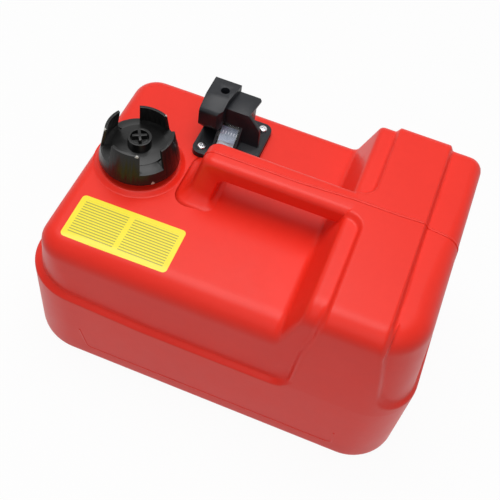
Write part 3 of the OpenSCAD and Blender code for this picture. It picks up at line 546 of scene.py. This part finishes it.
# a section between an inner and an outer point: a rounded rectangle of the given half width,
# with one corner radius inside and one outside, as offsets (across, from inner to outer 0..1)
def handleSurface():
    h = handle
    low = h["low"]
    outer = gripOuterLine()
    inner = bentLine((h["innerFoot"][0], low), (h["innerFoot"][1] + 1.5, h["under"]), (h["end"], h["under"]),
                     h["innerBend"], h["counts"])
    n = len(outer)
    depth = np.linalg.norm(outer - inner, axis=1)
    along = (outer - inner) / depth[:, None]
    height = (outer[:, 1] + inner[:, 1]) / 2
    rise = np.clip((height - low) / (h["under"] + 6 - low), 0, 1)
    half = h["half"] + (h["baseHalf"] - h["half"]) * (1 - rise) ** 1.3
    # the foot swells out to meet the deck, as a quarter circle of the flare's radius
    gap = np.clip(h["flare"] - (height - low - 1.02), 0, h["flare"])
    swell = h["flare"] - np.sqrt(np.maximum(h["flare"] ** 2 - gap ** 2, 0))
    half = half + swell
    depthAll = depth + 2 * swell
    start = inner - along * swell[:, None]
    section = []
    steps = 7
    rOut = np.full(n, h["outerCorner"]) + swell * 0.8
    rIn = np.full(n, h["innerCorner"]) + swell * 0.8
    quarter = np.radians(np.linspace(0, 90, steps))
    # four corners in turn: outer +, outer -, inner -, inner +
    for side, corner in ((1, "out"), (-1, "out"), (-1, "in"), (1, "in")):
        r = rOut if corner == "out" else rIn
        order = quarter if (side, corner) in ((1, "out"), (-1, "in")) else quarter[::-1]
        for q in order:
            across = side * (half - r + r * math.cos(q))
            lift = (depthAll - r + r * math.sin(q)) if corner == "out" else (r - r * math.sin(q))
            xz = start + along * lift[:, None]
            section.append(np.stack([xz[:, 0], h["y"] + across, xz[:, 1]], 1))
    points = np.stack(section, 1)
    points[..., 2] -= h["sink"] * ease(points[..., 0] - h["sinkAt"], h["sinkOver"])
    return points


grip = handleSurface()
gripLine = gripOuterLine()
gripRows, gripColumns = grip.shape[:2]
gripFaces = gridQuads(gripRows, gripColumns, closeColumns=True).tolist()
gripFaces += [list(range(gripColumns)), [(gripRows - 1) * gripColumns + k for k in range(gripColumns)]]
carryHandle = makePiece("carryHandle", grip, gripFaces, redPlastic.material, "tank")


# the filler neck and its ring on the deck, in millimetres
neck = {"x": -121.3, "y": 3.0, "outer": 28.0, "bore": 24.5, "top": 182.8, "low": 158.0,
        "ringOuter": 43.5, "ringSlope": 6.0, "ringRise": 3.5, "lip": 0.8}


# turns a line of (radius, height) points round the upright axis at (x, y)
def revolve(line, x, y, steps=96):
    line = np.asarray(line, float)
    a = np.linspace(0, 2 * math.pi, steps, endpoint=False)
    r, z = line[:, :1], np.repeat(line[:, 1:], steps, 1)
    return np.stack([x + r * np.cos(a), y + r * np.sin(a), z], -1)


def neckSurface():
    n = neck
    deck = tank["deck"]
    rise = np.linspace(0, 1, 12)
    ringOut = [(n["ringOuter"] - n["ringSlope"] * s, deck - 0.05 + n["ringRise"] * s * s * (3 - 2 * s)) for s in rise]
    foot = arcPoints((n["outer"] + 3, deck + n["ringRise"] + 3), 3, 270, 180, 6)
    lipOut = arcPoints((n["outer"] - n["lip"], n["top"] - n["lip"]), n["lip"], 0, 90, 5)
    lipIn = arcPoints((n["bore"] + n["lip"], n["top"] - n["lip"]), n["lip"], 90, 180, 5)
    line = ringOut + foot.tolist() + lipOut.tolist() + lipIn.tolist()
    line += [(n["bore"], n["low"]), (n["outer"], n["low"]), (n["outer"] + 6, deck - 3), (n["ringOuter"], deck - 3)]
    return revolve(line, n["x"], n["y"])


points = neckSurface()
fillerNeck = makePiece("fillerNeck", points, gridQuads(points.shape[0], points.shape[1], True, True),
                       redPlastic.material, "tank", angle=50)
print("handle and neck made")

# the beads of the moulding, in millimetres
bead = {"partingY": 8.0, "partingWidth": 1.4, "partingRise": 0.13, "partingLow": 112.0, "sunk": 0.5,
        "partingX": (-43.0, 31.0, 79.0, 119.0, 150.0, 176.0), "partingAt": (5.5, 5.5, 8.8, 8.8, 10.5, 8.0),
        "panelLeft": -122.0, "panelRight": 136.5, "panelLow": 21.0, "panelWidth": 1.3, "panelRise": 0.4,
        "panelLeftTop": (-125.5, 49.0), "panelRightTop": (135.7, 43.0)}


# a low ridge along a line of points: across it the height is the cosine hump
# rise times half of (1 + cos(pi t)), and its underside is sunk into the wall
def ridgeSurface(path, upwards, across, width, rise):
    t = np.linspace(-1, 1, 9)
    lift = rise * (1 + np.cos(math.pi * t)) / 2 - 0.03
    ts, lifts = np.append(t, [0.6, -0.6]), np.append(lift, [-bead["sunk"], -bead["sunk"]])
    return path[:, None] + across[:, None] * (ts * width)[:, None] + upwards[:, None] * lifts[:, None]


# unit normals of a line in a plane, square to it and to the across direction
def lineNormals(path, across):
    tangent = np.gradient(path, axis=0)
    normal = np.cross(tangent, across)
    return normal / np.linalg.norm(normal, axis=1)[:, None]


def makeRidge(name, path, across, width, rise):
    across = np.broadcast_to(np.asarray(across, float), path.shape)
    points = ridgeSurface(path, lineNormals(path, across), across, width, rise)
    rows, columns = points.shape[:2]
    faces = gridQuads(rows, columns, closeColumns=True).tolist()
    faces += [list(range(columns)), [(rows - 1) * columns + k for k in range(columns)]]
    return makePiece(name, points, faces, redPlastic.material, "tank")


# where the two mould halves met: over the grip and the plateau and down the right end
def partingPath():
    b, t = bead, tank
    x = gripLine[gripLine[:, 0] < t["blockLeft"] + 8]
    start = x[x[:, 1] > 176]
    columns = np.flatnonzero(zone == 2)
    share = (b["partingY"] - t["sideAnchorY"][0]) / (t["sideAnchorY"][1] - t["sideAnchorY"][0]) * 24
    k = int(share)
    wall = surface[:, columns[k]] + (surface[:, columns[k + 1]] - surface[:, columns[k]]) * (share - k)
    wall = wall[(wall[:, 2] > b["partingLow"]) & (wall[:, 0] > 165)][::-1]
    x = np.linspace(start[-1, 0] + 1.5, wall[0, 0] - 1, 70)
    top = np.stack([x, topHeight(x, b["partingY"] + 0 * x)], 1)
    line = np.concatenate([start, top, wall[:, [0, 2]]])
    steps = np.append(0, np.cumsum(np.linalg.norm(np.diff(line, axis=0), axis=1)))
    even = np.linspace(0, steps[-1], 360)
    x, z = np.interp(even, steps, line[:, 0]), np.interp(even, steps, line[:, 1])
    return np.stack([x, np.interp(x, b["partingX"], b["partingAt"]), z], 1)


partingBead = makeRidge("partingBead", partingPath(), (0, -1, 0), bead["partingWidth"], bead["partingRise"])


# the frame of the bare panel low on the front: one long line with two short ends turned up
def panelPath():
    b, t = bead, tank
    corners = np.array([b["panelLeftTop"], (b["panelLeft"] + 3, b["panelLow"] + 2.5),
                        (b["panelLeft"] + 6, b["panelLow"]), (b["panelRight"] - 4, b["panelLow"]),
                        (b["panelRight"], b["panelLow"] + 3), b["panelRightTop"]])
    steps = np.append(0, np.cumsum(np.linalg.norm(np.diff(corners, axis=0), axis=1)))
    even = np.linspace(0, steps[-1], 240)
    x, z = np.interp(even, steps, corners[:, 0]), np.interp(even, steps, corners[:, 1])
    y = t["skirtDraft"] * (1 - z / t["ledge"]) - t["width"] / 2
    return np.stack([x, y, z], 1)


def makePanelFrame():
    path = panelPath()
    tangent = np.gradient(path, axis=0)
    tangent /= np.linalg.norm(tangent, axis=1)[:, None]
    across = np.cross(tangent, (0, 1, 0))
    return makeRidge("panelFrame", path, across, bead["panelWidth"], bead["panelRise"])


panelFrame = makePanelFrame()
print("beads made")


# the label, in millimetres and degrees
label = {"left": -149.2, "right": -48.6, "front": -101.6, "rear": -53.0, "corner": 4.0, "tilt": 0.8,
         "from": 190.0, "lift": 0.15, "thick": 0.3}


# a flat sheet on a grid whose corner points are drawn in to round corners, dropped onto the deck
def makeLabel():
    b = label
    nx, ny = 81, 41
    halfX, halfY = (b["right"] - b["left"]) / 2, (b["rear"] - b["front"]) / 2
    x, y = np.meshgrid(np.linspace(-halfX, halfX, nx), np.linspace(-halfY, halfY, ny))
    cx, cy = halfX - b["corner"], halfY - b["corner"]
    ox, oy = np.maximum(np.abs(x) - cx, 0), np.maximum(np.abs(y) - cy, 0)
    inCorner = (ox > 0) & (oy > 0)
    k = np.where(inCorner, np.maximum(ox, oy) / np.maximum(np.hypot(ox, oy), 1e-9), 1)
    x = np.where(inCorner, np.sign(x) * (cx + ox * k), x)
    y = np.where(inCorner, np.sign(y) * (cy + oy * k), y)
    a = math.radians(b["tilt"])
    x, y = x * math.cos(a) - y * math.sin(a), x * math.sin(a) + y * math.cos(a)
    points = np.stack([x + (b["left"] + b["right"]) / 2, y + (b["front"] + b["rear"]) / 2,
                       np.full(x.shape, b["from"])], -1)
    piece = makePiece("deckLabel", points, gridQuads(ny, nx), labelFinish().material, "tank")
    applyModifier(piece, "SHRINKWRAP", target=tankBody, wrap_method="PROJECT", use_project_z=True,
                  use_negative_direction=True, use_positive_direction=False, offset=b["lift"] * millimetre)
    applyModifier(piece, "SOLIDIFY", thickness=b["thick"] * millimetre, offset=-1)
    cleanMesh(piece)
    shadeSmooth(piece, 40)
    return piece


def labelFinish():
    b = label
    finish = Finish("yellowLabel", {"IOR": 1.45, "Roughness": 0.32})
    x, y = finish.axis("X") * 1000, finish.axis("Y") * 1000
    middle = (b["left"] + b["right"]) / 2
    # a blank form: two columns of plain even rules
    column = (x - middle)
    side = abs(column)
    halfWidth = (b["right"] - b["left"]) / 2
    inColumns = (side > 2.5) * (side < halfWidth - 5)
    depth = (y - b["front"])
    inRows = (depth > 4.5) * (depth < b["rear"] - b["front"] - 5)
    wave = finish.add("ShaderNodeMath", {"operation": "FRACT"}, {0: depth / 2.9, 1: 0.0})
    rules = (wave < 0.36) * inColumns * inRows
    tone = finish.noise(30.0, 2.0)
    yellow = finish.blend(tone, (0.84, 0.70, 0.020, 1), (0.92, 0.80, 0.035, 1))
    finish.feed(finish.shader.inputs["Base Color"], finish.blend(rules * 0.72, yellow, (0.16, 0.14, 0.05, 1)))
    return finish


deckLabel = makeLabel()
print("label made")


# the two openings in the moulding's wall, in millimetres
opening = {"outlet": (-52.5, 65.5), "outletRadius": 21.0, "low": 150.0, "high": 180.0}


# a plain upright plug that cuts a round hole through the deck
def cutHole(piece, x, y, radius):
    line = [(0, opening["low"]), (radius, opening["low"]), (radius, opening["high"]), (0, opening["high"])]
    points = revolve(line, x, y, 64)
    mesh = bpy.data.meshes.new("cutter")
    mesh.from_pydata((points.reshape(-1, 3) * millimetre).tolist(), [], gridQuads(4, 64, closeColumns=True).tolist())
    cutter = bpy.data.objects.new("cutter", mesh)
    bpy.context.scene.collection.objects.link(cutter)
    cleanMesh(cutter)
    applyModifier(piece, "BOOLEAN", object=cutter, operation="DIFFERENCE", solver="FAST")
    bpy.data.objects.remove(cutter)
    bpy.data.meshes.remove(mesh)


applyModifier(tankBody, "SOLIDIFY", thickness=tank["wall"] * millimetre, offset=-1)
cutHole(tankBody, neck["x"], neck["y"], neck["bore"] + 0.5)
cutHole(tankBody, *opening["outlet"], opening["outletRadius"])
shadeSmooth(tankBody, 50)
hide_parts("tank_shell")
print("tank hollow:", len(tankBody.data.polygons), "faces")


# a copy of a CAD node, merged, with its edges broken by a small bevel
def roundedCopy(node, name, width, body, finish, segments=2, angle=35):
    piece = bpy.data.objects.new(name, frame["nodes"][node].data.copy())
    bpy.context.scene.collection.objects.link(piece)
    work = bmesh.new()
    work.from_mesh(piece.data)
    bmesh.ops.remove_doubles(work, verts=work.verts, dist=2e-6)
    bmesh.ops.dissolve_limit(work, angle_limit=math.radians(1.0), verts=work.verts, edges=work.edges)
    work.to_mesh(piece.data)
    work.free()
    piece.data.materials.clear()
    piece.data.materials.append(finish.material)
    applyModifier(piece, "BEVEL", width=width * millimetre, segments=segments, limit_method="ANGLE",
                  angle_limit=math.radians(angle), use_clamp_overlap=True, harden_normals=False,
                  miter_outer="MITER_ARC")
    shadeSmooth(piece, 32)
    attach(piece, body)
    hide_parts(node)
    return piece


roundedCopy("cap_shell", "fillerCap", 0.5, "cap", capPlastic)
roundedCopy("outlet_body", "outletFitting", 0.7, "tank", fittingPlastic)
roundedCopy("vent_screw", "ventKnob", 0.35, "vent", capPlastic)
roundedCopy("flange_screws", "flangeScrews", 0.15, "tank", screwSteel, 1)
roundedCopy("gauge_lens", "gaugeWindow", 0.4, "tank", clearPlastic)


# a smooth copy of the valve's spring
def makeSpring():
    coil = bpy.data.objects.new("valveCoil", frame["nodes"]["valve_spring"].data.copy())
    bpy.context.scene.collection.objects.link(coil)
    cleanMesh(coil)
    shadeSmooth(coil, 50)
    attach(coil, "tank")
    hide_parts("valve_spring")
    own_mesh(coil)


makeSpring()
print("fittings rounded")


# a card under the window: its place is the window's middle, across, up the slope and out of it
dial = {"middle": (-55.0, 54.9, 180.5), "slope": 44.0, "half": 8.1, "low": -4.4, "high": 10.1, "out": -3.2,
        "thick": 0.4, "indexY": 52.7, "indexHalf": 0.7, "marksY": 60.2, "marksHalf": 0.9, "markStep": 2.6,
        # where the painted reflection starts to fade into painted shade in Y, and over what length
        "paintedSheenFrom": 50.0, "paintedSheenOver": 13.0, "markShare": 0.28}


# a flat slab on a grid: each point is the middle, plus across, plus up the slope, plus out of it
def makeDialCard():
    d = dial
    lean = math.radians(d["slope"])
    across, up = np.meshgrid(np.linspace(-d["half"], d["half"], 25), np.linspace(d["low"], d["high"], 23))
    out = np.full(across.shape, d["out"])
    points = np.stack([d["middle"][0] + across,
                       d["middle"][1] + up * math.cos(lean) - out * math.sin(lean),
                       d["middle"][2] + up * math.sin(lean) + out * math.cos(lean)], -1)
    card = makePiece("dialCard", points, gridQuads(23, 25), dialFinish().material, "tank")
    applyModifier(card, "SOLIDIFY", thickness=d["thick"] * millimetre, offset=-1)
    cleanMesh(card)
    shadeSmooth(card, 40)
    return card


# painted light on the dial: a tone that fades with Y from a painted blue-white reflection to painted shade deep in
# the window's well, one printed index line and a row of printed short strokes, all plain
def dialFinish():
    d = dial
    finish = Finish("printedDialPaintedSheen", {"Roughness": 0.4})
    x, y = finish.axis("X") * 1000, finish.axis("Y") * 1000
    # painted reflection at the low end and painted shade at the high end, not the dial's own colour; the print lies
    # over it
    fade = (y - d["paintedSheenFrom"]) / d["paintedSheenOver"]
    paintedSheenTone = finish.blend(fade, (0.70, 0.80, 0.92, 1), (0.07, 0.10, 0.17, 1))
    index = abs(y - d["indexY"]) < d["indexHalf"]
    wave = finish.add("ShaderNodeMath", {"operation": "FRACT"}, {0: (x + 100.0) / d["markStep"], 1: 0.0})
    marks = (abs(y - d["marksY"]) < d["marksHalf"]) * (wave < d["markShare"])
    ink = (index + marks).join("MINIMUM", index + marks, 1.0)
    finish.feed(finish.shader.inputs["Base Color"], finish.blend(ink, paintedSheenTone, (0.80, 0.82, 0.85, 1)))
    return finish


dialCard = makeDialCard()
print("dial made")


# the floor, lights and camera, in metres and watts
studio = {
    "floorSize": 6.0, "fill": 0.22,
    "keyPower": 22.0, "keyPlace": (-0.16, 0.20, 1.70), "keySize": 1.25,
    "frontPower": 5.0, "frontPlace": (0.35, -1.10, 1.20), "frontSize": 1.2,
}


def makeFloor():
    half = studio["floorSize"] / 2
    mesh = bpy.data.meshes.new("studioFloor")
    mesh.from_pydata([(-half, -half, 0), (half, -half, 0), (half, half, 0), (-half, half, 0)], [], [(0, 1, 2, 3)])
    floor = bpy.data.objects.new("studioFloor", mesh)
    bpy.context.scene.collection.objects.link(floor)
    finish = Finish("paleFloor", {"Base Color": (0.72, 0.72, 0.72, 1), "Roughness": 0.9})
    seen = finish.add("ShaderNodeLightPath", out="Is Camera Ray")
    gloss = finish.add("ShaderNodeLightPath", out="Is Glossy Ray")
    through = finish.add("ShaderNodeLightPath", out="Is Transmission Ray")
    glow = finish.add("ShaderNodeEmission", None, {"Color": (1, 1, 1, 1), "Strength": 1.0})
    mixed = finish.add("ShaderNodeMixShader", None, {
        0: seen * 0.95 + gloss * 0.95 + through * 0.95,
        1: Wire(finish, finish.shader.outputs[0]), 2: glow})
    finish.feed(finish.tree.nodes["Material Output"].inputs["Surface"], mixed)
    mesh.materials.append(finish.material)


def makeWorld():
    world = bpy.data.worlds.new("studioWorld")
    bpy.context.scene.world = world
    world.use_nodes = True
    nodes, links = world.node_tree.nodes, world.node_tree.links
    back = nodes["Background"]
    path = nodes.new("ShaderNodeLightPath")
    strength = nodes.new("ShaderNodeMix")
    strength.inputs[2].default_value = studio["fill"]
    strength.inputs[3].default_value = 1.0
    # rays from the camera, and those that metal, gloss and glass send on, see plain white
    either = nodes.new("ShaderNodeMath")
    either.operation = "MAXIMUM"
    links.new(path.outputs["Is Camera Ray"], either.inputs[0])
    links.new(path.outputs["Is Glossy Ray"], either.inputs[1])
    seen = nodes.new("ShaderNodeMath")
    seen.operation = "MAXIMUM"
    links.new(either.outputs[0], seen.inputs[0])
    links.new(path.outputs["Is Transmission Ray"], seen.inputs[1])
    links.new(seen.outputs[0], strength.inputs[0])
    links.new(strength.outputs[0], back.inputs["Strength"])
    back.inputs["Color"].default_value = (1, 1, 1, 1)


def makeLamp(name, power, place, size):
    lamp = bpy.data.lights.new(name, "AREA")
    lamp.energy, lamp.size = power, size
    holder = bpy.data.objects.new(name, lamp)
    bpy.context.scene.collection.objects.link(holder)
    holder.location = place
    holder.rotation_euler = (Vector((0, 0, 0.1)) - Vector(place)).to_track_quat("-Z", "Y").to_euler()


makeFloor()
makeWorld()
makeLamp("keySoftbox", studio["keyPower"], studio["keyPlace"], studio["keySize"])
makeLamp("frontSoftbox", studio["frontPower"], studio["frontPlace"], studio["frontSize"])

view = {"place": (0.10855, -0.49064, 0.78927), "turn": (35.630, -6.018, 20.940), "lens": 62.83}
cameraData = bpy.data.cameras.new("photoCamera")
cameraData.sensor_width, cameraData.lens = 36.0, view["lens"]
cameraData.clip_start, cameraData.clip_end = 0.01, 50.0
camera = bpy.data.objects.new("photoCamera", cameraData)
camera.location = view["place"]
camera.rotation_euler = [math.radians(a) for a in view["turn"]]
bpy.context.scene.collection.objects.link(camera)
bpy.context.scene.camera = camera
bpy.context.scene.view_settings.view_transform = "Standard"
print("studio ready")
